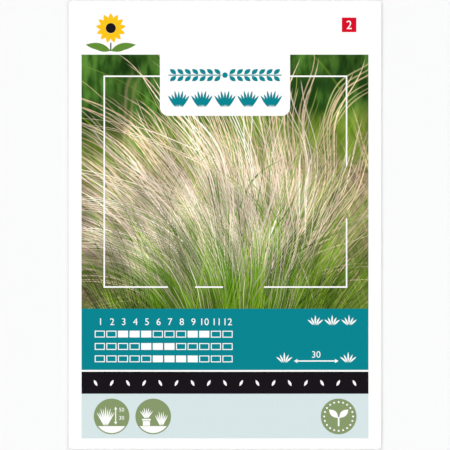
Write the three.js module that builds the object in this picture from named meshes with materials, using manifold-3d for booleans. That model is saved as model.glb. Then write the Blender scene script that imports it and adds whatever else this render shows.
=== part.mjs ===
// A sealed picture packet of grass seed, lying on its back with the printed front facing up.
// Millimetres: +X to the right of the front, +Y to its top edge, +Z up, origin under its middle.
//
// The packet is folded from one paper blank. Its front panel carries four wings, all behind it:
//   left    the back panel
//   right   a side tab, which the back panel is glued to
//   bottom  a tab, glued over the back panel's lower end
//   top     a closing flap, glued over the back panel's upper end
// Inside lies a sachet of two foil films, welded all round, with the seed in it.

import * as THREE from "three";
import Module from "manifold-3d";
import { mergeVertices } from "three/addons/utils/BufferGeometryUtils.js";

// ---- Driving dimensions ----

const WIDTH = 115;
const HEIGHT = 165;

const PAPER = 0.125; // thickness of the coated paper
const GLUE = 0.0625; // thickness of a dried glue line
const FILM = 0.0625; // thickness of one foil film

const FOLD_REACH = 0.25; // how far a fold's middle line stands out from where it starts to turn
const CORNER_NOTCH = 1; // each fold stops this far short of the packet's corners
const FRONT_GAP = 0.25; // free height between the side tab and the front panel at their fold

const BOTTOM_TAB = { length: 14, slant: 6 }; // slant: narrower by this at each end of the free edge
const TOP_FLAP = { length: 22, slant: 9 };
const SIDE_TAB = { width: 10, slant: 6 };
const BACK_EDGE_INSET = 0.9; // from the right fold to the back panel's cut edge
const GLUE_MARGIN = 2; // a glue line stays this far inside the tab that it is on
const SETTLE = 6; // past a flap, the back panel comes down to the ground within this length

const FRONT_BULGE = { x: 0, y: -4, halfX: 53, halfY: 76, rise: 1.55 };
const SACHET = { y: -8, width: 76, height: 108 };
const SACHET_BULGE = { x: 0, y: SACHET.y, halfX: 34, halfY: 50, rise: 1.5 };

const HEAP = { x: 0, y: -12, halfX: 17, halfY: 26, rim: 0.12, rise: 0.5 };
const HEAP_SPREAD = 0.93; // the seeds' middles lie within this share of the heap's half widths
const SEED = { count: 90, length: 2.6, girth: 0.56, tipGirth: 0.47, tilt: 0.05 };
const SEED_SINK = 0.3; // how deep a seed lies in the heap's core
const SEED_FOOT = 0.04; // the least height of a seed over the film

// ---- Heights of the layers, at the middle of each one's own thickness ----

const FLAP_Z = PAPER / 2;
const BACK_LOW_Z = PAPER / 2;
const BACK_HIGH_Z = FLAP_Z + PAPER + GLUE;
const SIDE_TAB_RISE = PAPER + GLUE;
const FRONT_Z = BACK_HIGH_Z + SIDE_TAB_RISE + PAPER + FRONT_GAP;

const FOLD_X = WIDTH / 2 - PAPER / 2 - FOLD_REACH; // where the side folds start to turn
const FOLD_Y = HEIGHT / 2 - PAPER / 2 - FOLD_REACH;
const WING_X = WIDTH / 2 - CORNER_NOTCH; // the wings' half width and half length
const WING_Y = HEIGHT / 2 - CORNER_NOTCH;
const TAB_EDGE_Y = -HEIGHT / 2 + BOTTOM_TAB.length; // the free edges of the two flaps
const FLAP_EDGE_Y = HEIGHT / 2 - TOP_FLAP.length;

// ---- How finely the curved pieces are divided ----

const FOLD_STEPS = 5;
const PANEL_STEPS = { across: 12, along: 11 };
const SACHET_STEPS = { across: 10, along: 14 };
const CORE_SIDES = 24;
const CORE_RINGS = 4;
const SEED_SIDES = 4;

// ---- Materials ----

const PAPER_FINISH = new THREE.MeshStandardMaterial({ color: 0xf7f7f3, roughness: 0.42, metalness: 0 });
const GLUE_FINISH = new THREE.MeshStandardMaterial({ color: 0xe6dfc8, roughness: 0.5, metalness: 0 });
const FOIL_FINISH = new THREE.MeshStandardMaterial({ color: 0xc9ccce, roughness: 0.3, metalness: 0.9 });
const SEED_FINISH = new THREE.MeshStandardMaterial({ color: 0xb08d57, roughness: 0.75, metalness: 0 });

// ---- Helpers ----

const { lerp, smoothstep } = THREE.MathUtils;

// count + 1 numbers, evenly spaced from a to b.
const steps = (a, b, count) => Array.from({ length: count + 1 }, (_, i) => lerp(a, b, i / count));

// The height and slopes, at a point, of a low swelling over an oval that is level at its rim.
function swell({ x, y, halfX, halfY, rise }, atX, atY) {
  const u = (atX - x) / halfX;
  const v = (atY - y) / halfY;
  const inside = Math.max(0, 1 - u * u - v * v);
  const slope = -4 * rise * inside;
  return { height: rise * inside * inside, slopeX: (slope * u) / halfX, slopeY: (slope * v) / halfY };
}

// A point of a sheet: its place on the middle surface, and the way the outer face looks there.
const point = (x, y, z, nx, ny, nz) => ({
  place: new THREE.Vector3(x, y, z),
  out: new THREE.Vector3(nx, ny, nz).normalize(),
});

// A point of a swelling sheet that faces up.
function swollenPoint(bulge, x, y, z) {
  const { height, slopeX, slopeY } = swell(bulge, x, y);
  return point(x, y, z + height, -slopeX, -slopeY, 1);
}

// Thickens the patches of one sheet into a closed slab. A patch is a grid of points, and patches
// that meet share the points of their common edge. Walls close the sheet's free edges.
function slab(patches, thickness) {
  const points = new Map();
  const keyOf = (p) => {
    const key = p.place.toArray().map((v) => v.toFixed(4)).join();
    if (!points.has(key)) points.set(key, p);
    return key;
  };
  const quads = patches.flatMap((rows) => {
    const keys = rows.map((row) => row.map(keyOf));
    return keys.slice(1).flatMap((upper, r) => {
      const lower = keys[r];
      return upper.slice(1).map((_, c) => [lower[c], lower[c + 1], upper[c + 1], upper[c]]);
    });
  });
  const side = (key, sign) => {
    const { place, out } = points.get(key);
    return place.clone().addScaledVector(out, (sign * thickness) / 2);
  };
  const corners = [];
  const addQuad = (a, b, c, d) => corners.push(a, b, c, a, c, d);
  const edges = new Set(quads.flatMap((q) => q.map((key, i) => `${key}>${q[(i + 1) % 4]}`)));
  for (const [a, b, c, d] of quads) {
    addQuad(side(a, 1), side(b, 1), side(c, 1), side(d, 1));
    addQuad(side(a, -1), side(d, -1), side(c, -1), side(b, -1));
    for (const [from, to] of [[a, b], [b, c], [c, d], [d, a]]) {
      if (edges.has(`${to}>${from}`)) continue;
      addQuad(side(from, -1), side(to, -1), side(to, 1), side(from, 1));
    }
  }
  return mergeVertices(new THREE.BufferGeometry().setFromPoints(corners), 1e-5);
}

function plate(minX, maxX, minY, maxY, minZ, maxZ) {
  const box = new THREE.BoxGeometry(maxX - minX, maxY - minY, maxZ - minZ);
  return box.translate((minX + maxX) / 2, (minY + maxY) / 2, (minZ + maxZ) / 2);
}

// ---- The paper ----

// The back panel's middle height: up on the flaps, and down on the ground between them.
function backHeight(y) {
  const overTab = 1 - smoothstep(y, TAB_EDGE_Y, TAB_EDGE_Y + SETTLE);
  const overFlap = smoothstep(y, FLAP_EDGE_Y - SETTLE, FLAP_EDGE_Y);
  return lerp(BACK_LOW_Z, BACK_HIGH_Z, Math.max(overTab, overFlap));
}

// A point of the back panel or the side tab, which face down and follow that height.
function backPoint(x, y, lift) {
  const reach = 0.01;
  const slope = (backHeight(y + reach) - backHeight(y - reach)) / (2 * reach);
  return point(x, y, backHeight(y) + lift, 0, slope, -1);
}

// The half turn of a fold, from the front panel's height down to a wing's, without its last point.
// at places a point by how far it stands out, its height, and its direction out and up.
function turn(wingZ, at) {
  const middle = (FRONT_Z + wingZ) / 2;
  const half = (FRONT_Z - wingZ) / 2;
  return steps(0, Math.PI, FOLD_STEPS)
    .slice(0, -1)
    .map((angle) => {
      const [sin, cos] = [Math.sin(angle), Math.cos(angle)];
      return at(FOLD_REACH * sin, middle + half * cos, half * sin, FOLD_REACH * cos);
    });
}

// A wing folded behind the left (-1) or right (+1) side, up to edgeX(y) on that side's own axis.
function sideWing(side, ys, lift, edgeX) {
  return ys.map((y) => {
    const fold = turn(backHeight(y) + lift, (out, z, nx, nz) =>
      point(side * (FOLD_X + out), y, z, side * nx, 0, nz),
    );
    const flat = steps(FOLD_X, edgeX(y), 3).map((x) => backPoint(side * x, y, lift));
    const row = [...fold, ...flat];
    return side < 0 ? row.reverse() : row;
  });
}

// A flap folded behind the bottom (-1) or top (+1) end, which narrows towards its free edge.
function endFlap(end, xs, { length, slant }) {
  const columns = xs.map((x) => {
    const fold = turn(FLAP_Z, (out, z, ny, nz) => point(x, end * (FOLD_Y + out), z, 0, end * ny, nz));
    const flat = steps(0, 1, 3).map((share) => {
      const narrowed = x * (1 - (share * slant) / WING_X);
      return point(narrowed, end * lerp(FOLD_Y, HEIGHT / 2 - length, share), FLAP_Z, 0, 0, -1);
    });
    return [...fold, ...flat];
  });
  return end > 0 ? columns.reverse() : columns;
}

function foldedPaper() {
  const wingXs = steps(-WING_X, WING_X, PANEL_STEPS.across);
  const wingYs = [
    ...steps(-WING_Y, TAB_EDGE_Y, 2),
    ...steps(TAB_EDGE_Y, TAB_EDGE_Y + SETTLE, 3).slice(1),
    ...steps(TAB_EDGE_Y + SETTLE, FLAP_EDGE_Y - SETTLE, PANEL_STEPS.along).slice(1),
    ...steps(FLAP_EDGE_Y - SETTLE, FLAP_EDGE_Y, 3).slice(1),
    ...steps(FLAP_EDGE_Y, WING_Y, 3).slice(1),
  ];
  const frontXs = [-FOLD_X, ...wingXs, FOLD_X];
  const frontYs = [-FOLD_Y, ...wingYs, FOLD_Y];
  const sideTabEdge = (y) => {
    const taper = Math.max(0, Math.abs(y) - WING_Y + SIDE_TAB.slant);
    return WIDTH / 2 - SIDE_TAB.width + taper;
  };
  return slab(
    [
      frontYs.map((y) => frontXs.map((x) => swollenPoint(FRONT_BULGE, x, y, FRONT_Z))),
      sideWing(-1, wingYs, 0, () => BACK_EDGE_INSET - WIDTH / 2),
      sideWing(1, wingYs, SIDE_TAB_RISE, sideTabEdge),
      endFlap(-1, wingXs, BOTTOM_TAB),
      endFlap(1, wingXs, TOP_FLAP),
    ],
    PAPER,
  );
}

// ---- The glue lines ----

function sideGlue() {
  const minX = WIDTH / 2 - SIDE_TAB.width + GLUE_MARGIN;
  const maxX = WIDTH / 2 - BACK_EDGE_INSET - GLUE_MARGIN;
  return plate(minX, maxX, TAB_EDGE_Y + SETTLE, FLAP_EDGE_Y - SETTLE, PAPER, PAPER + GLUE);
}

function flapGlue(end, { length, slant }) {
  const halfWidth = WING_X - slant - GLUE_MARGIN;
  const ends = [end * (WING_Y - GLUE_MARGIN), end * (HEIGHT / 2 - length + GLUE_MARGIN)];
  return plate(-halfWidth, halfWidth, Math.min(...ends), Math.max(...ends), PAPER, PAPER + GLUE);
}

// ---- The sachet ----

const SACHET_FLOOR = PAPER; // the sachet lies on the back panel's inner face
const SACHET_SEAM = SACHET_FLOOR + FILM; // where the two films meet

function sachetBack() {
  const [halfX, halfY] = [SACHET.width / 2, SACHET.height / 2];
  return plate(-halfX, halfX, SACHET.y - halfY, SACHET.y + halfY, SACHET_FLOOR, SACHET_SEAM);
}

function sachetFront() {
  const [halfX, halfY] = [SACHET.width / 2, SACHET.height / 2];
  const xs = steps(-halfX, halfX, SACHET_STEPS.across);
  const ys = steps(SACHET.y - halfY, SACHET.y + halfY, SACHET_STEPS.along);
  const middle = SACHET_SEAM + FILM / 2;
  return slab([ys.map((y) => xs.map((x) => swollenPoint(SACHET_BULGE, x, y, middle)))], FILM);
}

// ---- The seed ----

const manifold = await Module();
manifold.setup();

function toSolid(geometry) {
  const bare = geometry.clone();
  bare.deleteAttribute("normal");
  bare.deleteAttribute("uv");
  const merged = mergeVertices(bare, 1e-5);
  const vertProperties = new Float32Array(merged.attributes.position.array);
  const triVerts = new Uint32Array(merged.index.array);
  return new manifold.Manifold(new manifold.Mesh({ numProp: 3, vertProperties, triVerts }));
}

function toGeometry(solid) {
  const { vertProperties, triVerts } = solid.getMesh();
  const geometry = new THREE.BufferGeometry();
  geometry.setAttribute("position", new THREE.BufferAttribute(vertProperties, 3));
  return geometry.setIndex(new THREE.BufferAttribute(triVerts, 1));
}

// The one body that holds a solid together, without the small hollows sealed inside it.
function outerBody(solid) {
  const bodies = solid.decompose();
  return bodies.reduce((best, body) => (body.volume() > best.volume() ? body : best));
}

// A repeatable draw of numbers from 0 to 1.
function seededDraw(seed) {
  let state = seed;
  return () => {
    state = (state * 16807) % 2147483647;
    return state / 2147483647;
  };
}

// A slender grain, pointed at both ends, lying along X.
function grain() {
  const profile = [
    [0, -SEED.length / 2],
    [SEED.girth / 2, -SEED.length / 6],
    [SEED.tipGirth / 2, SEED.length / 5],
    [0, SEED.length / 2],
  ].map(([radius, along]) => new THREE.Vector2(radius, along));
  return new THREE.LatheGeometry(profile, SEED_SIDES).rotateZ(Math.PI / 2);
}

const heapHeight = (share) => HEAP.rim + HEAP.rise * (1 - share * share);

// The heap's low core, a flat-bottomed mound.
function heapCore() {
  const slope = steps(1, 0, CORE_RINGS).map((share) => new THREE.Vector2(share, heapHeight(share)));
  const floor = [new THREE.Vector2(0, 0), new THREE.Vector2(1, 0)];
  const mound = new THREE.LatheGeometry([...floor, ...slope], CORE_SIDES);
  return mound.rotateX(Math.PI / 2).scale(HEAP.halfX, HEAP.halfY, 1).translate(HEAP.x, HEAP.y, SACHET_SEAM);
}

function seedHeap() {
  const draw = seededDraw(11);
  let heap = toSolid(heapCore());
  for (let i = 0; i < SEED.count; i++) {
    const share = HEAP_SPREAD * Math.sqrt(draw());
    const bearing = 2 * Math.PI * draw();
    const seed = grain();
    seed.rotateY(SEED.tilt * (2 * draw() - 1)).rotateZ(Math.PI * draw());
    seed.computeBoundingBox();
    const foot = Math.max(SEED_FOOT, heapHeight(share) - SEED_SINK);
    seed.translate(
      HEAP.x + HEAP.halfX * share * Math.cos(bearing),
      HEAP.y + HEAP.halfY * share * Math.sin(bearing),
      SACHET_SEAM + foot - seed.boundingBox.min.z,
    );
    heap = heap.add(toSolid(seed));
  }
  return toGeometry(outerBody(heap));
}

// ---- The packet ----

function piece(name, geometry, finish) {
  const mesh = new THREE.Mesh(geometry, finish);
  mesh.name = name;
  return mesh;
}

const packet = new THREE.Group();
packet.add(
  piece("envelope", foldedPaper(), PAPER_FINISH),
  piece("side_glue", sideGlue(), GLUE_FINISH),
  piece("bottom_glue", flapGlue(-1, BOTTOM_TAB), GLUE_FINISH),
  piece("top_glue", flapGlue(1, TOP_FLAP), GLUE_FINISH),
  piece("sachet_back", sachetBack(), FOIL_FINISH),
  piece("sachet_front", sachetFront(), FOIL_FINISH),
  piece("seeds", seedHeap(), SEED_FINISH),
);

export default packet;
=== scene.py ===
"""Dresses a sealed picture packet of grass seed: its folded paper, its print and what is inside."""

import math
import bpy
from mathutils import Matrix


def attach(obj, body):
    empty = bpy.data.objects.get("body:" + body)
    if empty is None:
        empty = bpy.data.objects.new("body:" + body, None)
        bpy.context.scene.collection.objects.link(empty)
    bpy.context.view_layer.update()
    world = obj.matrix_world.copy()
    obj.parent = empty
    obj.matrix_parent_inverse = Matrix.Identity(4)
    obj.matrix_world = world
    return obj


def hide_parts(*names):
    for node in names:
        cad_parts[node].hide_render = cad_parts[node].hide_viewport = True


bl_info = {
    "name": "Seed packet",
    "version": (1, 0, 0),
    "blender": (4, 5, 0),
    "location": "3D View > Sidebar > Seed packet",
    "description": "Builds the paper, the print and the contents of a picture packet of grass seed",
    "category": "Object",
}

from types import SimpleNamespace

import bmesh
import bpy
from mathutils import Matrix, Vector

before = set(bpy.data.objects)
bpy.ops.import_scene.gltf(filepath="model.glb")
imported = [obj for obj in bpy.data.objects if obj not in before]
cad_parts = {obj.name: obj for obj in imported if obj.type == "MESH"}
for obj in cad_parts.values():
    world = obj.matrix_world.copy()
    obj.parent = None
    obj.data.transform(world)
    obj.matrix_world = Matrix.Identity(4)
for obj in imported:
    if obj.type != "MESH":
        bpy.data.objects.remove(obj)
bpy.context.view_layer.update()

MM = 0.001

# ---- Millimetres of the folded paper, as its solid has them ----

PAPER = 0.125
HALF_X = 57.5
HALF_Y = 82.5
FOLD_REACH = 0.25  # how far a fold's middle line stands out from where it starts to turn
FOLD_X = HALF_X - PAPER / 2 - FOLD_REACH
FOLD_Y = HALF_Y - PAPER / 2 - FOLD_REACH
WING_X = HALF_X - 1.0  # the wings stop short of the corners
WING_Y = HALF_Y - 1.0
FRONT_Z = 0.8125  # heights of the middle of the paper's thickness
FLAP_Z = 0.0625
BACK_HIGH_Z = 0.25
SIDE_TAB_RISE = 0.1875
TAB_EDGE_Y = -68.5  # free edges of the bottom tab, the closing flap, the side tab and the back panel
FLAP_EDGE_Y = 60.5
SIDE_TAB_X = 47.5
BACK_EDGE_X = 56.6
TAB_SLANT = 6.0
FLAP_SLANT = 9.0
SETTLE = 6.0  # past a flap, the back panel comes down within this length
FOLD_STEPS = 8
CELLS_X = 76  # how finely the front, and each wing away from its fold, is divided
CELLS_Y = 110
BACK_CELLS = 38
SIDE_TAB_CELLS = 4
BOTTOM_TAB_CELLS = 6
FLAP_CELLS = 8
BULGE_X = 53.0  # half widths of the swelling over the sachet, and the height of its middle
BULGE_Y = 76.0
BULGE_MIDDLE_Y = -4.0
STEP_BLUR = 1.5  # a flap's edge shows through the front this far to each side

# ---- Millimetres of the print ----

BLOCK_X = 52.75  # the front's printed block, and its picture and bands from the top down
PICTURE_TOP = 62.65
PICTURE_FOOT = -30.75
TEAL_FOOT = -53.3
BLACK_TOP = -53.95
BLACK_FOOT = -62.05
PALE_FOOT = -78.45
INK = 0.012  # thickness of an ink film
INK_SINK = 0.004  # how much of it has soaked into what it lies on
LIFT = 0.012  # each further layer of print lies this much higher
LEVEL = 0.0006  # marks of one ink lie on levels this far apart, so that none meet
LEVELS = 8
SLIVER = 0.02  # a mark isn't cut closer to its end than this
MAP_RIM = 0.001  # share of the baking map that stays free at each edge
LINE = (-44.4, 44.7, -22.8, 54.7)  # middles of the white line's left, right, lower and upper sides
TITLE_FOOT = 40.1
EMBLEM = (-42.0, 72.4)
SQUARE = (42.97, 48.31, 70.93, 76.29)
BACK_X = 50.0  # half the width of the back's print

# ---- The stage ----

FLOOR_RADIUS = 6000.0
FLOOR_DROP = 0.06  # the floor lies this much below the packet
SENSOR = 36.0
LIGHT_ANGLE = math.radians(36)  # how broad the lights look
LIGHT_RISE = 0.9  # how high they stand, against how far out
WALLS = (0.86, 0.87, 0.88)
CEILING = (0.05, 0.05, 0.05)


def smooth(value, low, high):
    """0 below low, 1 above high, and smooth between."""
    share = min(1.0, max(0.0, (value - low) / (high - low)))
    return share * share * (3 - 2 * share)


def linear(*levels):
    """A colour given as 0 to 255 on a screen, as the shader's own numbers."""
    shares = [level / 255 for level in levels]
    return tuple(c / 12.92 if c <= 0.04045 else ((c + 0.055) / 1.055) ** 2.4 for c in shares)


# ---- What a user would change ----


def number(name, description, value, **kind):
    """A number property that is never below 0."""
    return bpy.props.FloatProperty(name=name, description=description, default=value, min=0.0, **kind)


def length(name, description, millimetres):
    """A length property, given in millimetres."""
    return number(name, description, millimetres * MM, precision=5, subtype="DISTANCE", unit="LENGTH")


def colour(name, description, *levels):
    """A colour property, given as 0 to 255 on a screen."""
    return bpy.props.FloatVectorProperty(
        name=name, description=description, default=linear(*levels), min=0.0, max=1.0, size=3, subtype="COLOR"
    )


class PacketSizes(bpy.types.PropertyGroup):
    """Sizes of the paper's swelling and of the print."""

    swell: length("Swell", "How far the seed inside pushes the front out", 1.55)
    relief: length("Relief", "How far the flaps behind show through the front", 0.035)
    keyline: length("Keyline", "Width of the white line round the picture", 0.56)
    title_width: length("Title width", "Width of the white tab at the top of the picture", 47.9)
    roundel: length("Roundel", "Radius of the round signs", 6.55)


class PacketColours(bpy.types.PropertyGroup):
    """Colours of the paper and the inks."""

    white: colour("White", "Coated side of the paper, and white ink", 253, 253, 251)
    teal: colour("Teal", "Name band and ornaments", 0, 131, 142)
    dark: colour("Dark", "Narrow band", 20, 15, 21)
    pale: colour("Pale", "Band at the foot", 212, 226, 227)
    olive: colour("Olive", "Round signs", 133, 151, 104)
    red: colour("Red", "Corner square", 214, 4, 38)
    yellow: colour("Yellow", "Petals of the emblem", 250, 196, 20)
    leaf: colour("Leaf green", "Leaves of the emblem", 96, 140, 52)


class PacketStage(bpy.types.PropertyGroup):
    """Camera, light and floor."""

    view_width: length("View width", "Width of the floor that the camera sees", 165.5)
    lens: number("Lens", "Focal length of the camera in millimetres", 200.0, subtype="DISTANCE_CAMERA")
    key: number("Key light", "Strength of the light at the upper left", 1.15)
    fill: number("Fill lights", "Strength of each of the three other lights", 0.885)
    floor: colour("Floor", "Colour of the floor", 246, 246, 246)


# ---- Shader expressions ----


def operator(operation, swapped=False):
    """An operator of Wire, which adds a Math node."""

    def act(wire, *others):
        values = (*others, wire) if swapped else (wire, *others)
        return wire.paint.node("ShaderNodeMath", {"operation": operation}, *values)

    return act


class Wire:
    """A socket's number, vector or colour. Arithmetic on it adds Math nodes."""

    def __init__(self, paint, socket):
        self.paint = paint
        self.socket = socket

    def math(self, operation, *others):
        return operator(operation)(self, *others)

    __add__ = __radd__ = operator("ADD")
    __mul__ = __rmul__ = operator("MULTIPLY")
    __sub__ = operator("SUBTRACT")
    __rsub__ = operator("SUBTRACT", swapped=True)
    __truediv__ = operator("DIVIDE")
    __rtruediv__ = operator("DIVIDE", swapped=True)
    __pow__ = operator("POWER")
    __rpow__ = operator("POWER", swapped=True)
    __gt__ = operator("GREATER_THAN")
    __lt__ = operator("LESS_THAN")
    __abs__ = operator("ABSOLUTE")


class Paint:
    """A node tree that is written as expressions."""

    def __init__(self, tree, material=None):
        self.tree = tree
        self.material = material
        tree.nodes.clear()

    def node(self, kind, settings=None, *values, out=0, **named):
        """Adds a node, sets its settings, then its sockets, and gives one of its outputs."""
        node = self.tree.nodes.new(kind)
        for key, value in (settings or {}).items():
            setattr(node, key, value)
        for key, value in [*enumerate(values), *named.items()]:
            self.feed(node.inputs[key], value)
        return Wire(self, node.outputs[out]) if len(node.outputs) else None

    def feed(self, socket, value):
        """Links a wire to a socket, or sets the socket's own value."""
        if isinstance(value, Wire):
            self.tree.links.new(value.socket, socket)
        elif socket.type == "RGBA" and not isinstance(value, (int, float)):
            socket.default_value = (*value[:3], 1.0)
        else:
            socket.default_value = value

    def step(self, low, high, value):
        """0 below low, 1 above high, and smooth between."""
        settings = {"interpolation_type": "SMOOTHSTEP"}
        return self.node("ShaderNodeMapRange", settings, value, low, high, 0.0, 1.0)

    def mix(self, factor, first, second, blend="MIX"):
        """Mixes two colours."""
        node = self.tree.nodes.new("ShaderNodeMix")
        node.data_type = "RGBA"
        node.blend_type = blend
        for index, value in ((0, factor), (6, first), (7, second)):
            self.feed(node.inputs[index], value)
        return Wire(self, node.outputs[2])

    def shade(self, tone, light):
        """A colour times a number."""
        grey = self.node("ShaderNodeCombineColor", None, light, light, light)
        return self.mix(1.0, tone, grey, "MULTIPLY")

    def vector(self, x, y=0.0, z=0.0):
        return self.node("ShaderNodeCombineXYZ", None, x, y, z)

    def parts(self, wire, kind="ShaderNodeSeparateXYZ"):
        """The three numbers of a colour or a vector."""
        node = self.tree.nodes.new(kind)
        self.tree.links.new(wire.socket, node.inputs[0])
        return [Wire(self, output) for output in node.outputs[:3]]

    def noise(self, place, scale=1.0, detail=2.0, rough=0.5, kind="3D"):
        settings = {"noise_dimensions": kind}
        sockets = {"Vector": self.vector(*place), "Scale": scale, "Detail": detail, "Roughness": rough}
        return self.node("ShaderNodeTexNoise", settings, **sockets)

    def draws(self, key):
        """Three random numbers for each whole number."""
        random_colour = self.node("ShaderNodeTexWhiteNoise", {"noise_dimensions": "1D"}, W=key, out="Color")
        return self.parts(random_colour, "ShaderNodeSeparateColor")

    def bump(self, height, distance, strength=1.0):
        return self.node("ShaderNodeBump", None, Strength=strength, Distance=distance * MM, Height=height)

    def finish(self, **sockets):
        """Ends the tree in a Principled shader with these sockets, and gives the material."""
        named = {key.replace("_", " "): value for key, value in sockets.items()}
        shader = self.node("ShaderNodeBsdfPrincipled", None, **named)
        self.node("ShaderNodeOutputMaterial", None, shader)
        return self.material


def new_paint(name):
    """A new material's paint, and the place of the point that is shaded, in millimetres."""
    material = bpy.data.materials.new(name)
    material.use_nodes = True
    p = Paint(material.node_tree, material)
    where = p.node("ShaderNodeTexCoord", out="Object")
    return p, *(axis * 1000.0 for axis in p.parts(where))


# ---- Finishes ----


def paper_fibre(p, x, y, z):
    """The fibre of coated paper, drawn out along y."""
    return p.noise((x * 3.0, y * 0.9, z * 3.0), 3.0, 3.0, 0.6)


def mottled(p, tone, x, y, z, amount):
    """The colour of an ink film, which is a little uneven."""
    light = (p.noise((x, y, z), 1.7, 4.0, 0.6) - 0.5) * amount + 1.0
    return p.shade(tone, light)


def finish_coated(p, tone, fibre, roughness, specular=0.2, depth=0.003, strength=0.4):
    """Ends a tree as coated paper or as ink on it, with the fibre in its gloss and its relief."""
    return p.finish(
        Base_Color=tone,
        Roughness=p.step(0.3, 0.7, fibre) * 0.08 + roughness,
        Specular_IOR_Level=specular,
        Normal=p.bump(fibre, depth, strength),
    )


def paper_finish(paper_colour):
    """Coated paper: white, satin, with faint fibre and cloudiness."""
    p, x, y, z = new_paint("coated_paper")
    cloud = p.noise((x, y, z), 0.35, 3.0)
    fibre = paper_fibre(p, x, y, z)
    tone = p.mix(cloud * 0.5 + fibre * 0.5, [c * 0.985 for c in paper_colour], paper_colour)
    return finish_coated(p, tone, fibre, 0.36, 0.25, 0.004, 0.5)


def ink(tone):
    """The ink of this colour on coated paper, made when it is first asked for."""
    name = tone + "_ink"
    if name in bpy.data.materials:
        return bpy.data.materials[name]
    roughness, mottle = (0.36, 0.01) if tone == "white" else (0.3, 0.06)
    p, x, y, z = new_paint(name)
    ink_colour = getattr(bpy.context.scene.packet_colours, tone)
    return finish_coated(p, mottled(p, ink_colour, x, y, z, mottle), paper_fibre(p, x, y, z), roughness)


def glue_finish():
    """Dried glue: yellowish, cloudy, with streaks from the wheel that laid it."""
    p, x, y, z = new_paint("dried_glue")
    cloud = p.noise((x, y, z), 0.6, 4.0, 0.6)
    streak = p.noise((x * 2.5, y * 0.15, z), 1.0, 3.0)
    tone = p.mix(p.step(0.3, 0.7, cloud), linear(222, 208, 172), linear(238, 230, 206))
    return p.finish(
        Base_Color=tone,
        Roughness=streak * 0.25 + 0.35,
        Specular_IOR_Level=0.4,
        Normal=p.bump(cloud + streak, 0.03, 0.6),
    )


def foil_finish():
    """Laminated foil: dull silver, with soft creases."""
    p, x, y, z = new_paint("foil_film")
    cells = p.vector(x, y * 0.7, 0.0)
    crease = p.node("ShaderNodeTexVoronoi", {"feature": "DISTANCE_TO_EDGE"}, Vector=cells, Scale=0.09)
    sheen = p.noise((x, y, z), 0.2, 3.0)
    grain = p.noise((x * 0.4, y * 8.0, z), 2.0, 3.0, 0.6)
    return p.finish(
        Base_Color=p.mix(sheen, linear(196, 199, 202), linear(226, 228, 230)),
        Metallic=1.0,
        Roughness=grain * 0.12 + sheen * 0.12 + 0.22,
        Normal=p.bump(p.step(0.0, 0.12, crease) + grain * 0.05, 0.08, 0.6),
    )


def seed_finish():
    """Ripe grain: brown and straw, streaked along its length."""
    p, x, y, z = new_paint("seed")
    batch = p.noise((x, y, z), 0.5)
    streak = p.noise((x * 2.0, y * 2.0, z * 9.0), 1.5, 4.0, 0.65)
    tone = p.mix(p.step(0.35, 0.65, batch), linear(142, 100, 52), linear(196, 160, 102))
    tone = p.mix(p.step(0.5, 0.75, streak), tone, linear(96, 62, 30))
    return p.finish(
        Base_Color=tone,
        Roughness=streak * 0.2 + 0.55,
        Specular_IOR_Level=0.3,
        Normal=p.bump(streak, 0.05, 0.6),
    )


# ---- The printed picture: a tuft of feathery grass on a lawn, before a hedge ----

STRAW = linear(208, 184, 146)
CREAM = linear(242, 218, 190)
PALE = linear(255, 241, 226)
GREEN = linear(84, 124, 36)
DEEP = linear(24, 44, 14)
LIME = linear(160, 190, 78)
OLIVE = linear(130, 142, 72)
SAGE = linear(166, 172, 116)

# What a fan of blades is told, and what holds where its row doesn't say. Lengths are in millimetres and
# angles in radians from straight up. A share runs from a blade's root to its tip.
FAN = {
    "base_x": 0.0,  # where the blades meet
    "base_y": 0.0,
    "count": 100.0,  # how many there are in a radian
    "length": 140.0,
    "width": 0.2,  # half a blade's width at its root
    "root": DEEP,
    "tip": GREEN,  # a blade's tip lies between these two colours
    "other": LIME,
    "lean": -0.3,  # how far the tips are turned, and how much they spread
    "bend": 0.3,
    "head": 0.0,  # half a plume's width, where the blades carry one
    "spread": 9.0,  # how far the fan reaches to each side of its middle
    "middle": 0.09,
    "vary": 0.4,  # how much the blades differ in length
    "stray": 0.4,  # how much they stray to the side
    "clump": 0.25,  # how much neighbours are alike
    "turn_low": 0.2,  # shares between which the root's colour gives way to the tip's
    "turn_high": 1.0,
    "contrast": 0.5,  # how much the blades differ in light
    "soft": 0.12,  # width of their blurred edge
    "alpha": 1.0,
    "x": 0.0,  # the point that is shaded, the colour under the fan and the number of its draws
    "y": 0.0,
    "under": DEEP,
    "seed": 0.0,
}
RIPE = {"turn_low": 0.56, "turn_high": 0.8}
LATE = {"turn_low": 0.62, "turn_high": 0.82}
CRISP = {"contrast": 1.25, "soft": 0.07}


def fan(*own, **rest):
    """A fan's values. Its own come in the order of FAN."""
    return {**FAN, **dict(zip(FAN, own)), **rest}


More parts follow.
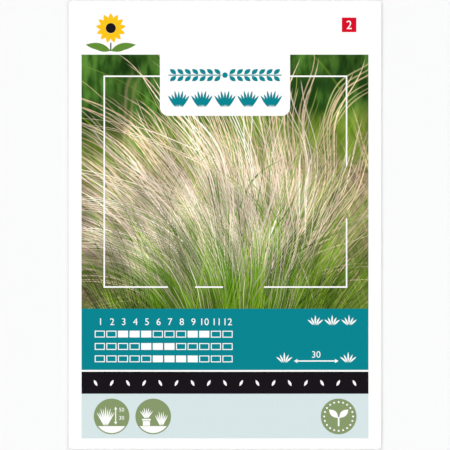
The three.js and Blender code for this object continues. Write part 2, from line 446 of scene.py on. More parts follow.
# From back to front: blurred blades, plumes with blades among them, and the blades at the foot.
FANS = [
    fan(66, -90, 100, 142, 0.45, DEEP, OLIVE, GREEN, -0.15, soft=0.7, alpha=0.7, contrast=1.0),
    fan(-70, -90, 80, 138, 0.4, DEEP, GREEN, STRAW, -0.15, soft=0.7, alpha=0.6, contrast=1.0),
    fan(56, -92, 140, 136, 0.1, GREEN, STRAW, SAGE, -0.35, head=0.26, soft=0.3, vary=0.3, **RIPE),
    fan(4, -90, 150, 144, 0.28, DEEP, OLIVE, STRAW, -0.25, 0.6, spread=0.6, clump=0.15, contrast=0.9),
    fan(-4, -88, 200, 148, 0.16, GREEN, STRAW, SAGE, -0.2, 0.7, spread=0.5, contrast=0.8, **RIPE),
    fan(0, -86, 160, 146, 0.07, GREEN, STRAW, CREAM, -0.35, 0.5, 0.2, 0.46, vary=0.3, **RIPE),
    fan(6, -84, 200, 140, 0.14, DEEP, OLIVE, GREEN, -0.3, 0.8, spread=0.52, turn_low=0.4, turn_high=0.9,
        contrast=0.9),
    fan(8, -84, 150, 142, 0.07, GREEN, CREAM, STRAW, -0.2, 0.7, 0.2, 0.46, vary=0.35, contrast=0.7, **RIPE),
    fan(-6, -82, 170, 128, 0.2, DEEP, GREEN, LIME, -0.25, 0.8, spread=0.56, vary=0.5, contrast=0.9),
    fan(2, -84, 240, 140, 0.07, GREEN, CREAM, PALE, -0.45, 0.7, spread=0.44, contrast=0.8, **RIPE),
    fan(-4, -82, 140, 132, 0.07, GREEN, CREAM, PALE, -0.45, 0.6, 0.18, 0.42, **RIPE),
    fan(-26, -92, 140, 128, 0.12, DEEP, GREEN, CREAM, 0.3, 0.4, 0.14, 0.4, 0.12, clump=0.45, soft=0.08,
        **LATE),
    fan(2, -80, 170, 130, 0.07, GREEN, PALE, CREAM, -0.3, 0.9, spread=0.46, vary=0.35, contrast=0.8,
        **LATE),
    fan(4, -84, 170, 122, 0.16, DEEP, GREEN, LIME, -0.15, 0.6, vary=0.5, contrast=1.0),
    fan(28, -92, 130, 144, 0.09, GREEN, PALE, CREAM, -0.65, 0.3, 0.16, 0.4, -0.1, clump=0.45, soft=0.08,
        **LATE),
    fan(-2, -80, 100, 118, 0.07, GREEN, PALE, CREAM, -0.3, 0.8, 0.18, 0.4, vary=0.35, **LATE),
    fan(-12, -100, 212, 116, 0.26, DEEP, GREEN, DEEP, -0.1, 0.4, spread=0.62, turn_low=0.5, **CRISP),
    fan(0, -110, 212, 110, 0.3, DEEP, DEEP, GREEN, -0.1, spread=0.6, turn_low=0.6, contrast=1.0, soft=0.07),
    fan(-2, -84, 250, 112, 0.11, GREEN, PALE, CREAM, -0.5, 0.8, spread=0.46, vary=0.3, turn_low=0.6,
        turn_high=0.95),
    fan(6, -104, 238, 114, 0.16, DEEP, GREEN, LIME, -0.05, 0.4, spread=0.56, turn_low=0.5, **CRISP),
    fan(-6, -116, 212, 122, 0.14, DEEP, GREEN, LIME, 0.05, spread=0.54, vary=0.35, turn_low=0.45, **CRISP),
    fan(4, -112, 175, 114, 0.1, GREEN, LIME, GREEN, -0.15, spread=0.5, turn_low=0.5, **CRISP),
    fan(-2, -96, 75, 112, 0.1, GREEN, CREAM, PALE, -0.3, 0.6, spread=0.5, vary=0.35, turn_low=0.65,
        contrast=1.0, soft=0.08),
]

SWAY = 0.13  # how far a blade sways to the side, in radians
SWAY_ACROSS = 5.0  # how soon the sway changes from blade to blade, and along a blade
SWAY_ALONG = 0.022
TUFTS = 26.0  # how finely neighbours are gathered in tufts
PLUME_START = 0.55  # a plume's share of its blade
BARBS = 3.2  # how fine its barbs are

# Heights between which the lawn gives way to the hedge, and the lawn to the path.
HEDGE_FOOT = (32.0, 44.0)
PATH_TOP = (26.0, 17.0)
GLOW = (6.0, 8.0)  # the light falls on the tuft's middle


def fan_group(name, feathered):
    """A group of nodes that paints a fan of blades, or of feathery plumes, over the colour under."""
    tree = bpy.data.node_groups.new(name, "ShaderNodeTree")
    p = Paint(tree)
    for key, value in FAN.items():
        kind = "NodeSocketFloat" if isinstance(value, float) else "NodeSocketColor"
        tree.interface.new_socket(key, in_out="INPUT", socket_type=kind)
    tree.interface.new_socket("painted", in_out="OUTPUT", socket_type="NodeSocketColor")
    entry = tree.nodes.new("NodeGroupInput")
    f = SimpleNamespace(**{key: Wire(p, entry.outputs[key]) for key in FAN})
    dx = f.x - f.base_x
    dy = f.y - f.base_y
    reach = (dx * dx + dy * dy).math("SQRT")
    angle = dx.math("ARCTAN2", dy)
    droop = (reach / f.length) ** 2.0
    start = (angle - droop * f.lean) / (droop * f.bend + 1.0)
    # under comes in here, by next to nothing, so that the fans are worked out one after the other
    spot = (start * SWAY_ACROSS, reach * SWAY_ALONG, f.under * 0.001 + f.seed)
    wave = p.noise(spot, 1.0, 0.0) - 0.5
    offset = f.seed * 0.37
    cell = (start + wave * SWAY) * f.count + offset
    key = cell.math("FLOOR")
    first, second, third = p.draws(key + f.seed * 31.7)
    own_angle = (key + 0.5 - offset) / f.count
    tuft = p.noise((own_angle * TUFTS, f.seed * 5.3), 1.0, 0.0, kind="2D") - 0.5
    along = reach / ((first * f.vary + tuft * f.clump * 2.0 + 1.0 - f.vary) * f.length)
    shift = (second - 0.5) * 0.4 + (third - 0.5) * droop * f.stray
    pitch = reach / f.count
    side = (cell - key - 0.5 - shift) * pitch
    half = (1.0 - along).math("MAXIMUM", 0.0) ** 0.6 * f.width
    if feathered:
        share = p.node("ShaderNodeMapRange", None, along, PLUME_START, 1.0, 0.0, 1.0)
        strand = (abs(side) * 1.6 - reach * 0.18, key * 7.3 + side * 0.3)
        barb = p.noise(strand, BARBS, 1.0, 0.7, "2D")
        swelling = (share * math.pi).math("SINE") ** 0.8
        half = half + swelling * (p.step(0.32, 0.66, barb) * 0.8 + 0.2) * f.head
    half = half.math("MINIMUM", (0.5 - abs(shift)) * pitch)
    mask = p.step(half + f.soft, half - f.soft * 0.5, abs(side)) * p.step(1.0, 0.97, along)
    mask = mask * p.step(0.0, 0.03, (third * 0.5 + 0.5) * f.spread - abs(own_angle - f.middle)) * f.alpha
    tone = p.mix(p.step(f.turn_low, f.turn_high, along), f.root, p.mix(third, f.tip, f.other))
    light = (side / (half + 0.15)) * 0.2 + second * f.contrast + tuft * 1.5 + 1.0 - f.contrast * 0.5
    p.node("NodeGroupOutput", None, p.mix(mask, f.under, p.shade(tone, light)))
    return tree


def paint_picture(p, x, y):
    """The colour of the picture at x and y, in millimetres."""
    cloud = p.noise((x * 0.05, y * 0.05, 3.0))
    leafy = p.noise((x * 0.34, y * 0.11, 7.0))
    grain = p.noise((x * 0.16, y * 0.6, 1.0), 1.0, 4.0, 0.6)
    hedge = p.mix(p.step(0.3, 0.72, leafy), linear(38, 76, 26), linear(104, 150, 70))
    hedge = p.mix(p.step(0.42, 0.7, cloud), hedge, linear(34, 68, 26))
    lawn = p.mix(p.step(0.3, 0.7, leafy), linear(100, 132, 44), linear(150, 170, 84))
    path = p.mix(p.step(0.35, 0.65, grain), linear(104, 84, 76), linear(180, 152, 132))
    level = y + (cloud - 0.5) * 16.0 - x * 0.06
    tone = p.mix(p.step(*HEDGE_FOOT, level), lawn, hedge)
    tone = p.mix(p.step(*PATH_TOP, level), tone, path)
    groups = (fan_group("blades", False), fan_group("plumes", True))
    for seed, values in enumerate(FANS, 1):
        settings = {"node_tree": groups[values["head"] > 0]}
        values = {**values, "x": x, "y": y, "under": tone, "seed": float(seed)}
        tone = p.node("ShaderNodeGroup", settings, **values)
    depth = p.noise((x * 0.07, y * 0.04, 5.0))
    glow = p.step(70.0, 10.0, ((x - GLOW[0]) ** 2.0 + (y - GLOW[1]) ** 2.0) ** 0.5)
    light = p.step(0.3, 0.66, depth) * 0.42 + glow * 0.22 + 0.48
    tone = p.shade(tone, light)
    tone = p.node("ShaderNodeHueSaturation", None, Saturation=1.08, Color=tone)
    return p.node("ShaderNodeVectorMath", {"operation": "MINIMUM"}, tone, (1.0, 1.0, 1.0))


def front_finish(colours):
    """The inks of the front's printed block."""
    p, x, y, z = new_paint("front_ink")
    tone = colours.pale
    for foot, band in ((BLACK_FOOT, colours.dark), (BLACK_TOP, colours.white), (TEAL_FOOT, colours.teal)):
        tone = p.mix(y > foot, tone, band)
    tone = p.mix(y > PICTURE_FOOT, mottled(p, tone, x, y, z, 0.06), paint_picture(p, x, y))
    return finish_coated(p, tone, paper_fibre(p, x, y, z), 0.28)


# ---- Heights of the paper ----


def relief(x, y):
    """The faint steps over the edges of the flaps behind, and faint waves, as a share of their height."""
    edges = ((x, SIDE_TAB_X), (-y, -TAB_EDGE_Y), (y, FLAP_EDGE_Y))
    step = max(smooth(place, edge - STEP_BLUR, edge + STEP_BLUR) for place, edge in edges)
    waves = math.sin(x * 0.11 + 1.3 * math.sin(y * 0.05)) * math.sin(y * 0.07 + 0.8)
    margin = min(FOLD_X - abs(x), FOLD_Y - abs(y))
    return (step + 0.8 * waves) * smooth(margin, 0.0, 4.0)


def front_height(x, y):
    """The middle of the front panel's thickness, in millimetres."""
    sizes = bpy.context.scene.packet_sizes
    inside = max(0.0, 1 - (x / BULGE_X) ** 2 - ((y - BULGE_MIDDLE_Y) / BULGE_Y) ** 2)
    return FRONT_Z + (sizes.swell * inside**2 + sizes.relief * relief(x, y)) / MM


def back_height(y):
    """The middle of the back panel's thickness: up on the flaps, and down between them."""
    over_tab = 1 - smooth(y, TAB_EDGE_Y, TAB_EDGE_Y + SETTLE)
    over_flap = smooth(y, FLAP_EDGE_Y - SETTLE, FLAP_EDGE_Y)
    return FLAP_Z + (BACK_HIGH_Z - FLAP_Z) * max(over_tab, over_flap)


# ---- Modelling ----


def deselect():
    """Leaves nothing selected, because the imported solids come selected."""
    if bpy.context.object and bpy.context.object.mode != "OBJECT":
        bpy.ops.object.mode_set(mode="OBJECT")
    bpy.ops.object.select_all(action="DESELECT")


def edit(piece):
    """Opens a piece in edit mode with all of it selected."""
    deselect()
    piece.select_set(True)
    bpy.context.view_layer.objects.active = piece
    bpy.ops.object.mode_set(mode="EDIT")
    bpy.ops.mesh.select_all(action="SELECT")


def close():
    bpy.ops.object.mode_set(mode="OBJECT")


def placed(x=0.0, y=0.0, scale_x=1.0, scale_y=1.0):
    """Scales and places the new primitive, in millimetres, and puts its place in its mesh."""
    piece = bpy.context.object
    piece.scale = (scale_x, scale_y, 1)
    piece.location = (x * MM, y * MM, 0)
    bpy.ops.object.transform_apply(location=True, rotation=True, scale=True)
    return piece


def add_rectangle(left, right, foot, top):
    deselect()
    bpy.ops.mesh.primitive_plane_add(size=MM)
    return placed((left + right) / 2, (foot + top) / 2, right - left, top - foot)


def add_disc(sides, radius, *place):
    deselect()
    bpy.ops.mesh.primitive_circle_add(vertices=sides, radius=radius * MM, fill_type="NGON")
    return placed(*place)


def choose(piece, kind, test):
    """In edit mode, selects the outer vertices or edges whose middle passes a test in millimetres."""
    bpy.ops.mesh.select_mode(type=kind)
    bpy.ops.mesh.select_all(action="DESELECT")
    mesh = bmesh.from_edit_mesh(piece.data)
    for item in mesh.verts if kind == "VERT" else mesh.edges:
        ends = getattr(item, "verts", [item])
        middle = sum((end.co for end in ends), Vector()) / len(ends) / MM
        item.select_set(item.is_boundary and test(middle))
    mesh.select_flush_mode()
    bmesh.update_edit_mesh(piece.data)


def cut(axis, line):
    """In edit mode, cuts all of the piece along a line across x (0) or y (1), in millimetres."""
    bpy.ops.mesh.select_all(action="SELECT")
    normal = Vector((axis == 0, axis == 1, 0))
    bpy.ops.mesh.bisect(plane_co=normal * (line * MM), plane_no=normal, threshold=1e-7)


def add_wall(thickness, offset, even):
    """Gives the active sheet its thickness, in millimetres."""
    modifier = bpy.context.object.modifiers.new("Solidify", "SOLIDIFY")
    modifier.thickness = thickness * MM
    modifier.offset = offset
    modifier.use_even_offset = even
    bpy.ops.object.modifier_apply(modifier=modifier.name)


def dress(piece, material):
    """Gives a finished piece its material and its body."""
    piece.data.materials.clear()
    piece.data.materials.append(material)
    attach(piece, "root")
    return piece


def add_wing(piece, on_edge, centre, axis, angle, move, count, place, *how):
    """Turns an edge of the front round a fold, draws it out into a wing and puts that in place."""
    choose(piece, "EDGE", on_edge)
    before = len(bmesh.from_edit_mesh(piece.data).verts)
    bpy.ops.mesh.spin(steps=FOLD_STEPS, angle=angle, center=[c * MM for c in centre], axis=axis)
    for _ in range(count):
        bpy.ops.mesh.extrude_region_move(TRANSFORM_OT_translate={"value": [m * MM for m in move]})
    mesh = bmesh.from_edit_mesh(piece.data)
    mesh.verts.ensure_lookup_table()
    for vertex in mesh.verts[before:]:
        vertex.co = Vector(place(*(vertex.co / MM), *how)) * MM
    bmesh.update_edit_mesh(piece.data)


def side_tab_edge(y):
    """The side tab's free edge, which slants towards its ends."""
    return SIDE_TAB_X + max(0.0, abs(y) - WING_Y + TAB_SLANT)


def side_place(x, y, z, side, radius, lift, edge_x):
    """Where a point of a side wing lies: side is -1 for the left one, which is the back panel."""
    out = side * x - FOLD_X
    share = (FRONT_Z - z) / (2 * radius)
    if out > 0:
        x = side * (FOLD_X + out * FOLD_REACH / radius)
    else:
        x = side * (FOLD_X - (FOLD_X - edge_x(y)) * out / (edge_x(0) - FOLD_X))
    return x, y, FRONT_Z - share * (FRONT_Z - back_height(y) - lift)


def end_place(x, y, z, end, radius, edge_y, slant):
    """Where a point of an end flap lies: end is -1 for the bottom tab and 1 for the closing flap."""
    out = end * y - FOLD_Y
    share = (FRONT_Z - z) / (2 * radius)
    if out > 0:
        y = end * (FOLD_Y + out * FOLD_REACH / radius)
    else:
        x *= 1 - slant / WING_X * out / (edge_y - FOLD_Y)
    return x, y, FRONT_Z - share * (FRONT_Z - FLAP_Z)


def fold_paper():
    """The packet's one sheet, folded."""
    deselect()
    bpy.ops.mesh.primitive_grid_add(x_subdivisions=CELLS_X, y_subdivisions=CELLS_Y, size=MM)
    sheet = placed(0, 0, 2 * FOLD_X, 2 * FOLD_Y)
    sheet.name = "packet_paper"
    edit(sheet)
    for axis, line in ((0, -WING_X), (0, WING_X), (1, -WING_Y), (1, WING_Y)):
        cut(axis, line)
    mesh = bmesh.from_edit_mesh(sheet.data)
    for vertex in mesh.verts:
        vertex.co.z = front_height(vertex.co.x / MM, vertex.co.y / MM) * MM
    bmesh.update_edit_mesh(sheet.data)
    outer = (FRONT_Z - FLAP_Z) / 2
    inner = (FRONT_Z - BACK_HIGH_Z) / 2
    for side, radius, lift, edge_x, count in (
        (-1, outer, 0.0, lambda y: -BACK_EDGE_X, BACK_CELLS),
        (1, inner, SIDE_TAB_RISE, side_tab_edge, SIDE_TAB_CELLS),
    ):
        add_wing(
            sheet,
            lambda middle: side * middle.x > FOLD_X - 0.01 and abs(middle.y) < WING_Y,
            (side * FOLD_X, 0, FRONT_Z - radius),
            (0, 1, 0),
            -side * math.pi,
            (side * (edge_x(0) - FOLD_X) / count, 0, 0),
            count,
            side_place, side, radius, lift, edge_x,
        )
    for end, edge_y, slant, count in (
        (-1, -TAB_EDGE_Y, TAB_SLANT, BOTTOM_TAB_CELLS),
        (1, FLAP_EDGE_Y, FLAP_SLANT, FLAP_CELLS),
    ):
        # the ends of the wings at the sides lie lower than the front's edge
        add_wing(
            sheet,
            lambda middle: end * middle.y > FOLD_Y - 0.01 and abs(middle.x) < WING_X and middle.z > 0.5,
            (0, end * FOLD_Y, FRONT_Z - outer),
            (1, 0, 0),
            end * math.pi,
            (0, end * (edge_y - FOLD_Y) / count, 0),
            count,
            end_place, end, outer, edge_y, slant,
        )
    bpy.ops.mesh.select_all(action="SELECT")
    bpy.ops.mesh.normals_make_consistent(inside=False)
    mesh = bmesh.from_edit_mesh(sheet.data)
    highest = max(mesh.faces, key=lambda face: face.calc_center_median().z)
    if highest.normal.z < 0:
        bpy.ops.mesh.flip_normals()
    close()
    add_wall(PAPER, 0.0, True)
    bpy.ops.object.shade_smooth_by_angle(angle=math.radians(40))
    return sheet


class Stencil:
    """Gathers flat marks of one ink and lays them on the paper as one thin piece.

    Marks are given in millimetres. On the back, x runs to the left, as someone who looks at it sees it.
    """

    def __init__(self, name, back=False):
        self.name = name
        self.back = back
        self.marks = []

    def keep(self, mark, turn=0.0, x=0.0, y=0.0):
        """Turns and places a mark, gives it a level of its own and cuts it along the paper's grid."""
        level = LEVEL * (len(self.marks) % LEVELS)
        mark.data.transform(Matrix.Translation((x * MM, y * MM, level * MM)) @ Matrix.Rotation(turn, 4, "Z"))
        if self.back:
            mark.data.transform(Matrix.Diagonal((-1, 1, 1, 1)))
        edit(mark)
        for axis, half, cells in ((0, FOLD_X, CELLS_X), (1, FOLD_Y, CELLS_Y)):
            places = [v.co[axis] / MM for v in bmesh.from_edit_mesh(mark.data).verts]
            low, high = min(places), max(places)
            for i in range(cells + 1):
                line = half * (2 * i / cells - 1)
                if low + SLIVER < line < high - SLIVER:
                    cut(axis, line)
        bpy.ops.mesh.select_all(action="SELECT")
        bpy.ops.mesh.remove_doubles(threshold=2e-7)
        close()
        self.marks.append(mark)

    def bar(self, left, right, foot, top, corner=0.0):
        """A bar, with its lower corners rounded where corner is given."""
        mark = add_rectangle(left, right, foot, top)
        if corner:
            edit(mark)
            choose(mark, "VERT", lambda place: place.y < (foot + top) / 2)
            bpy.ops.mesh.bevel(offset=corner * MM, offset_type="OFFSET", segments=8, affect="VERTICES")
            close()
        self.keep(mark)

    def frame(self, left, right, foot, top, width):
        """A line round a rectangle."""
        mark = add_rectangle(left, right, foot, top)
        edit(mark)
        bpy.ops.mesh.inset(thickness=width * MM, use_boundary=True, use_even_offset=True)
        bpy.ops.mesh.delete(type="FACE")
        close()
        self.keep(mark)

    def rod(self, x, y, width, length, turn=0.0):
        """A bar with its middle at x and y, upright where turn is 0."""
        self.keep(add_rectangle(-width / 2, width / 2, -length / 2, length / 2), -turn, x, y)

    def disc(self, x, y, radius, sides=48):
        self.keep(add_disc(sides, radius), 0.0, x, y)

    def segment(self, x, y, radius, top):
        """The part of a disc that is below top."""
        mark = add_disc(64, radius, x, y)
        edit(mark)
        bpy.ops.mesh.bisect(plane_co=(0, top * MM, 0), plane_no=(0, 1, 0), threshold=1e-7, clear_outer=True)
        close()
        self.keep(mark)

    def leaf(self, x, y, length, width, turn=0.0, bend=0.0, sides=20):
        """A leaf with its stalk at x and y, pointed at both ends. turn is from straight up, clockwise."""
        mark = add_disc(sides, 0.5, 0, length / 2, width, length)
        for vertex in mark.data.vertices:
            share = vertex.co.y / MM / length
            vertex.co.x *= math.sqrt(max(0.0, 1 - (2 * share - 1) ** 2))
            vertex.co.x += bend * share * share * MM
        self.keep(mark, -turn, x, y)

    def tuft(self, x, y, height, width, blades=7, spread=0.62, bend=0.16):
        """A tuft of grass with its foot at x and y."""
        for i in range(blades):
            lean = 2 * i / (blades - 1) - 1
            long = height * (1 - 0.22 * abs(lean) ** 1.5) * (0.9 if i % 2 else 1.0)
            self.leaf(x + lean * width * 1.2, y, long, width, lean * spread, lean * height * bend, sides=16)

    def figure(self, text, x, y, height):
        """A number, with its middle at x and y."""
        deselect()
        bpy.ops.object.text_add()
        written = bpy.context.object.data
        written.body = text
        written.size = height * MM
        written.resolution_u = 6
        bpy.ops.object.convert(target="MESH")
        mark = bpy.context.object
        places = [v.co for v in mark.data.vertices]
        low, high = (Vector([pick(c[i] for c in places) for i in range(3)]) for pick in (min, max))
        scale = height * MM / (high.y - low.y)
        mark.data.transform(Matrix.Scale(scale, 4) @ Matrix.Translation(-(low + high) / 2))
        self.keep(mark, 0.0, x, y)

    def arrow(self, x, y, length, width, turn=0.0):
        """A two-headed arrow with its middle at x and y, upright where turn is 0."""
        head = width * 3.8
        along = Vector((math.sin(turn), math.cos(turn)))
        self.rod(x, y, width, length - head * 1.5, turn)
        for way, half_turn in ((1, 0.0), (-1, math.pi)):
            tip = way * (length - head) / 2
            self.keep(add_disc(3, head / 2), half_turn - turn, x + along.x * tip, y + along.y * tip)

    def lay(self, material, layer):
        """Joins the marks and lays them on the front or the back, in the given layer of print."""
        deselect()
        for mark in self.marks:
            mark.select_set(True)
        piece = self.marks[0]
        bpy.context.view_layer.objects.active = piece
        if len(self.marks) > 1:
            bpy.ops.object.join()
        piece.name = self.name
        piece.data.name = self.name
        side = -1 if self.back else 1
        top = PAPER / 2 + INK - INK_SINK + LIFT * layer
        for vertex in piece.data.vertices:
            x, y, level = vertex.co / MM
            middle = back_height(y) if self.back else front_height(x, y)
            vertex.co.z = (middle + side * (top + level)) * MM
        edit(piece)
        bpy.ops.mesh.normals_make_consistent(inside=False)
        mesh = bmesh.from_edit_mesh(piece.data)
        for mesh_face in mesh.faces:
            if mesh_face.normal.z * side < 0:
                mesh_face.normal_flip()
        bmesh.update_edit_mesh(piece.data)
        close()
        add_wall(INK, -1.0, False)
        return dress(piece, material)


# ---- Operators ----


class PACKET_OT_paper(bpy.types.Operator):
    """Fold the packet's one sheet of coated paper"""

    bl_idname = "packet.paper"
    bl_label = "Fold the paper"

    def execute(self, context):
        sheet = fold_paper()
        dress(sheet, paper_finish(context.scene.packet_colours.white))
        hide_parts("envelope")
        return {"FINISHED"}


class PACKET_OT_front_print(bpy.types.Operator):
    """Print the picture and the bands on the front"""

    bl_idname = "packet.front_print"
    bl_label = "Print the front's block"

    def execute(self, context):
        block = Stencil("front_print")
        block.bar(-BLOCK_X, BLOCK_X, PALE_FOOT, PICTURE_TOP)
        piece = block.lay(front_finish(context.scene.packet_colours), 0)
        self.unwrap(piece)
        return {"FINISHED"}

    def unwrap(self, piece):
        """A map for baking: the block as it lies, with its rim and its underside in the same place."""
        spots = piece.data.uv_layers.new(name="OFBake").data
        for loop in piece.data.loops:
            x, y, _ = piece.data.vertices[loop.vertex_index].co / MM
            shares = (x + BLOCK_X) / (2 * BLOCK_X), (y - PALE_FOOT) / (PICTURE_TOP - PALE_FOOT)
            spots[loop.index].uv = [MAP_RIM + (1 - 2 * MAP_RIM) * share for share in shares]


class PACKET_OT_white_print(bpy.types.Operator):
    """Lay out the white line round the picture and the white tab on it"""

    bl_idname = "packet.white_print"
    bl_label = "Print the white parts"

    def execute(self, context):
        sizes = context.scene.packet_sizes
        white = Stencil("white_print")
        half = sizes.title_width / 2 / MM
        line = sizes.keyline / MM / 2
        left, right, foot, top = LINE
        for x, start, end in ((left, foot, top), (right, foot - line, 2.4), (right, 21.5, top + line)):
            white.bar(x - line, x + line, start, end)
        for y, start, end in (
            (top, left - line, right),
            (foot, left - line, -21.0),
            (foot, -11.0, -0.75),
            (foot, 14.3, right),
        ):
            white.bar(start, end, y - line, y + line)
        white.bar(-half, half, TITLE_FOOT, PICTURE_TOP, 3.2)
        white.lay(ink("white"), 1)
        return {"FINISHED"}


class PACKET_OT_title(bpy.types.Operator):
    """Print the ornament on the white tab: a garland over a row of grass tufts"""

    bl_idname = "packet.title"
    bl_label = "Print the title ornament"

    def execute(self, context):
        teal = Stencil("title_ornament")
        teal.disc(0.0, 55.1, 1.0, sides=32)
        for side in (-1, 1):
            for i in range(7):
                x = side * (1.7 + 2.72 * i)
                teal.leaf(x, 55.4, 2.9, 1.6, side * 0.75, side * 0.3)
                teal.leaf(x, 54.8, 2.9, 1.6, math.pi - side * 0.75, -side * 0.3)
            teal.bar(*sorted((side * 1.3, side * 20.8)), 54.92, 55.28)
        for i in range(5):
            teal.tuft(-17.0 + 8.5 * i, 43.3, 6.5, 1.0, spread=0.44, bend=0.1)
        teal.lay(ink("teal"), 2)
        return {"FINISHED"}


class PACKET_OT_emblem(bpy.types.Operator):
    """Print the flower in the corner"""

    bl_idname = "packet.emblem"
    bl_label = "Print the corner flower"

    def execute(self, context):
        x, y = EMBLEM
        petals = Stencil("emblem_petals")
        for i in range(13):
            turn = 2 * math.pi * i / 13
            petals.leaf(x + 1.4 * math.sin(turn), y + 1.4 * math.cos(turn), 4.1, 1.9, turn, sides=16)
        petals.lay(ink("yellow"), 0)
        leaves = Stencil("emblem_leaves")
        for side in (-1, 1):
            leaves.leaf(x + side * 0.1, y - 8.3, 9.2, 2.7, side * 1.14, side * 1.8)
            leaves.leaf(x + side * 0.1, y - 8.3, 5.2, 1.5, side * 1.4, side * 0.4)
        leaves.lay(ink("leaf"), 0)
        heart = Stencil("emblem_heart")
        heart.disc(x, y, 1.85)
        heart.rod(x, y - 6.9, 0.45, 3.0)
        heart.lay(ink("dark"), 1)
        return {"FINISHED"}


class PACKET_OT_corner_square(bpy.types.Operator):
    """Print the red square with its plain figure"""

    bl_idname = "packet.corner_square"
    bl_label = "Print the corner square"

    def execute(self, context):
        square = Stencil("corner_square")
        square.bar(*SQUARE)
        square.lay(ink("red"), 0)
        figure = Stencil("corner_figure")
        figure.figure("2", 45.64, 73.6, 3.1)
        figure.lay(ink("white"), 1)
        return {"FINISHED"}


class PACKET_OT_band_marks(bpy.types.Operator):
    """Print the sowing calendar on the teal band and the row of grains on the black one"""

    bl_idname = "packet.band_marks"
    bl_label = "Print the bands' marks"

    def execute(self, context):
        white = Stencil("band_marks")
        calendar(white, -47.9, -34.1, 4.27, 2.9)
        for x in (33.2, 39.4, 45.6):
            white.tuft(x, -36.8, 3.7, 0.6, 5)
        for x in (21.8, 45.3):
            white.tuft(x, -50.6, 3.9, 0.6, 5)
        white.arrow(33.55, -50.0, 16.4, 0.45, math.pi / 2)
        white.figure("30", 33.55, -47.6, 2.4)
        for i in range(17):
            x = -47.6 + 95.2 * i / 16
            turn = 0.5 if i % 2 else -0.5
            white.leaf(x - 1.25 * math.sin(turn), -58.1 - 1.25 * math.cos(turn), 2.5, 0.95, turn)
        white.lay(ink("white"), 1)
        return {"FINISHED"}


def calendar(stencil, left, top, pitch, height):
    """The months' numbers, over three rows of boxes that are full in the months meant."""
    for month in range(12):
        x = left + pitch * (month + 0.5)
        stencil.figure(str(month + 1), x, top - height / 2, height * 0.86)
        for row, full in ((1, (2, 3, 4, 8, 9)), (2, (4, 5, 6)), (3, (5, 6, 7, 8))):
            foot = top - 1.57 * height * row - height
            edges = (x - pitch / 2, x + pitch / 2 - 0.55, foot + 0.07 * height, foot + 0.93 * height)
            if month in full:
                stencil.bar(*edges)
            else:
                stencil.frame(*edges, 0.32)


def print_signs(side, y, signs):
    """Round signs at height y, by their places across: discs, and white signs on them."""
    radius = bpy.context.scene.packet_sizes.roundel / MM
    discs = Stencil(side + "_roundels", side == "back")
    for x in signs:
        discs.disc(x, y, radius, sides=64)
    discs.lay(ink("olive"), 1)
    white = Stencil(side + "_signs", side == "back")
    for x, draw in signs.items():
        draw(white, x, y)
    white.lay(ink("white"), 2)


class PACKET_OT_front_signs(bpy.types.Operator):
    """Print the round signs at the front's foot"""

    bl_idname = "packet.front_signs"
    bl_label = "Print the front's signs"

    def execute(self, context):
        print_signs("front", -70.4, {-41.7: height_sign, -26.4: pot_sign, 41.8: seal_sign})
        return {"FINISHED"}


def height_sign(stencil, x, y):
    """Ground, a tall tuft on the left, an upright arrow and two numbers."""
    stencil.segment(x, y, 6.1, y - 3.56)
    stencil.tuft(x - 2.2, y - 3.4, 7.2, 0.5, 9, 0.4, 0.08)
    stencil.arrow(x + 1.5, y + 0.3, 6.6, 0.36)
    stencil.figure("50", x + 3.7, y + 2.5, 1.4)
    stencil.figure("30", x + 3.7, y - 0.5, 1.4)


def pot_sign(stencil, x, y):
    """Ground, a tuft in a pot and a tuft beside it."""
    stencil.segment(x, y, 6.1, y - 3.56)
    stencil.bar(x - 4.1, x - 0.9, y - 1.5, y - 0.9)
    stencil.bar(x - 3.8, x - 1.2, y - 3.4, y - 1.7)
    stencil.tuft(x - 2.5, y - 0.8, 4.3, 0.42, 7, 0.46, 0.1)
    stencil.tuft(x + 3.0, y - 3.4, 5.6, 0.42, 7, 0.34, 0.08)


def seal_sign(stencil, x, y):
    """A sprout in a ring of dots."""
    for i in range(20):
        turn = 2 * math.pi * i / 20
        stencil.disc(x + 5.3 * math.sin(turn), y + 5.3 * math.cos(turn), 0.36, sides=12)
    stencil.rod(x, y - 1.9, 0.6, 3.4)
    stencil.leaf(x + 0.3, y - 0.5, 4.4, 2.2, 0.75, 0.3)
    stencil.leaf(x - 0.3, y - 0.5, 4.4, 2.2, -0.75, -0.3)


class PACKET_OT_back_print(bpy.types.Operator):
    """Print the back: a band, a calendar, signs and ruled lines"""

    bl_idname = "packet.back_print"
    bl_label = "Print the back"

    def execute(self, context):
        for name, tone, foot, top in (
            ("back_band", "teal", 42.0, 52.0),
            ("back_panel", "pale", -60.0, 40.8),
        ):
            block = Stencil(name, True)
            block.bar(-BACK_X, BACK_X, foot, top)
            block.lay(ink(tone), 0)
        tufts = Stencil("back_tufts", True)
        for i in range(7):
            tufts.tuft(-42.0 + 14.0 * i, 43.6, 6.6, 0.7)
        tufts.lay(ink("white"), 1)
        dark = Stencil("back_marks", True)
        calendar(dark, -44.0, 35.6, 7.38, 4.4)
        for i in range(7):
            end = 44.0 if i % 4 < 3 else 18.0
            dark.bar(-44.0, end, -25.0 - 4.6 * i, -24.7 - 4.6 * i)
        dark.lay(ink("dark"), 1)
        signs = {-36.6: height_sign, -12.2: pot_sign, 12.2: depth_sign, 36.6: seal_sign}
        print_signs("back", -8.6, signs)
        return {"FINISHED"}


def depth_sign(stencil, x, y):
    """A grain under the ground, and how deep it lies."""
    stencil.bar(x - 5.2, x + 5.2, y + 1.2, y + 1.6)
    stencil.leaf(x + 1.6, y - 2.6, 2.2, 1.1, 0.4)
    stencil.arrow(x - 2.4, y - 1.2, 4.0, 0.36)
    stencil.figure("1", x + 1.6, y + 3.6, 2.0)


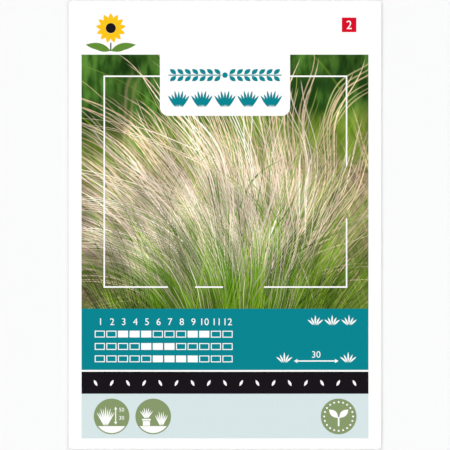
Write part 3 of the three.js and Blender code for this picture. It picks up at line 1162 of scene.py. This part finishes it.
class PACKET_OT_contents(bpy.types.Operator):
    """Finish the glue lines, the foil sachet and the seed"""

    bl_idname = "packet.contents"
    bl_label = "Finish the contents"

    def execute(self, context):
        finishes = {
            ("side_glue", "bottom_glue", "top_glue"): glue_finish(),
            ("sachet_back", "sachet_front"): foil_finish(),
            ("seeds",): seed_finish(),
        }
        for names, material in finishes.items():
            for name in names:
                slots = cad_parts[name].data.materials
                slots.clear()
                slots.append(material)
        return {"FINISHED"}


class PACKET_OT_stage(bpy.types.Operator):
    """Set up the floor, the lights and the camera"""

    bl_idname = "packet.stage"
    bl_label = "Set up the stage"

    def execute(self, context):
        stage = context.scene.packet_stage
        self.add_floor(stage)
        self.add_world(context.scene)
        for turn, strength in ((135, stage.key), (45, stage.fill), (-45, stage.fill), (-135, stage.fill)):
            self.add_light(math.radians(turn), strength)
        self.add_camera(context.scene, stage)
        context.scene.view_settings.view_transform = "Standard"
        return {"FINISHED"}

    def add_floor(self, stage):
        floor = add_disc(96, FLOOR_RADIUS)
        floor.name = "floor"
        floor.data.transform(Matrix.Translation((0, 0, -FLOOR_DROP * MM)))
        p, x, y, _ = new_paint("floor")
        cloud = p.noise((x, y), 0.02, 3.0)
        material = p.finish(
            Base_Color=p.mix(cloud, [c * 0.99 for c in stage.floor], stage.floor),
            Roughness=cloud * 0.1 + 0.7,
            Specular_IOR_Level=0.2,
        )
        floor.data.materials.append(material)

    def add_world(self, scene):
        """Pale walls all round and a dim ceiling, so that the print keeps its depth from above."""
        world = bpy.data.worlds.new("studio")
        scene.world = world
        world.use_nodes = True
        p = Paint(world.node_tree)
        where = p.node("ShaderNodeTexCoord", out="Generated")
        up = p.parts(where)[2]
        tone = p.mix(p.step(0.2, 0.75, up), WALLS, CEILING)
        p.node("ShaderNodeOutputWorld", None, p.node("ShaderNodeBackground", None, tone, 1.0))

    def add_light(self, turn, strength):
        """A broad, soft light from one side, as strong all over the floor."""
        bpy.ops.object.light_add(type="SUN", location=(math.cos(turn), math.sin(turn), LIGHT_RISE))
        light = bpy.context.object
        light.rotation_euler = (-light.location).to_track_quat("-Z", "Y").to_euler()
        light.data.angle = LIGHT_ANGLE
        light.data.energy = strength

    def add_camera(self, scene, stage):
        height = FRONT_Z * MM + stage.view_width * stage.lens / SENSOR
        bpy.ops.object.camera_add(location=(0, 0, height))
        scene.camera = bpy.context.object
        camera = scene.camera.data
        camera.lens = stage.lens
        camera.sensor_width = SENSOR
        camera.clip_end = 20.0


class PACKET_PT_panel(bpy.types.Panel):
    """Lists the packet's settings and its steps"""

    bl_idname = "PACKET_PT_panel"
    bl_label = "Seed packet"
    bl_space_type = "VIEW_3D"
    bl_region_type = "UI"
    bl_category = "Seed packet"

    def draw(self, context):
        for name in GROUPS:
            group = getattr(context.scene, name)
            box = self.layout.box()
            for key in group.__annotations__:
                box.prop(group, key)
        for step in STEPS:
            self.layout.operator(step.bl_idname)


STEPS = [
    PACKET_OT_paper, PACKET_OT_front_print, PACKET_OT_white_print, PACKET_OT_title,
    PACKET_OT_emblem, PACKET_OT_corner_square, PACKET_OT_band_marks, PACKET_OT_front_signs,
    PACKET_OT_back_print, PACKET_OT_contents, PACKET_OT_stage,
]
GROUPS = {"packet_sizes": PacketSizes, "packet_colours": PacketColours, "packet_stage": PacketStage}
CLASSES = [*GROUPS.values(), *STEPS, PACKET_PT_panel]


def register():
    for item in CLASSES:
        bpy.utils.register_class(item)
    for name, group in GROUPS.items():
        setattr(bpy.types.Scene, name, bpy.props.PointerProperty(type=group))


def unregister():
    for name in GROUPS:
        delattr(bpy.types.Scene, name)
    for item in reversed(CLASSES):
        bpy.utils.unregister_class(item)


def main():
    """Builds everything in order."""
    register()
    for step in STEPS:
        module, name = step.bl_idname.split(".")
        getattr(getattr(bpy.ops, module), name)()


if __name__ == "__main__":
    main()
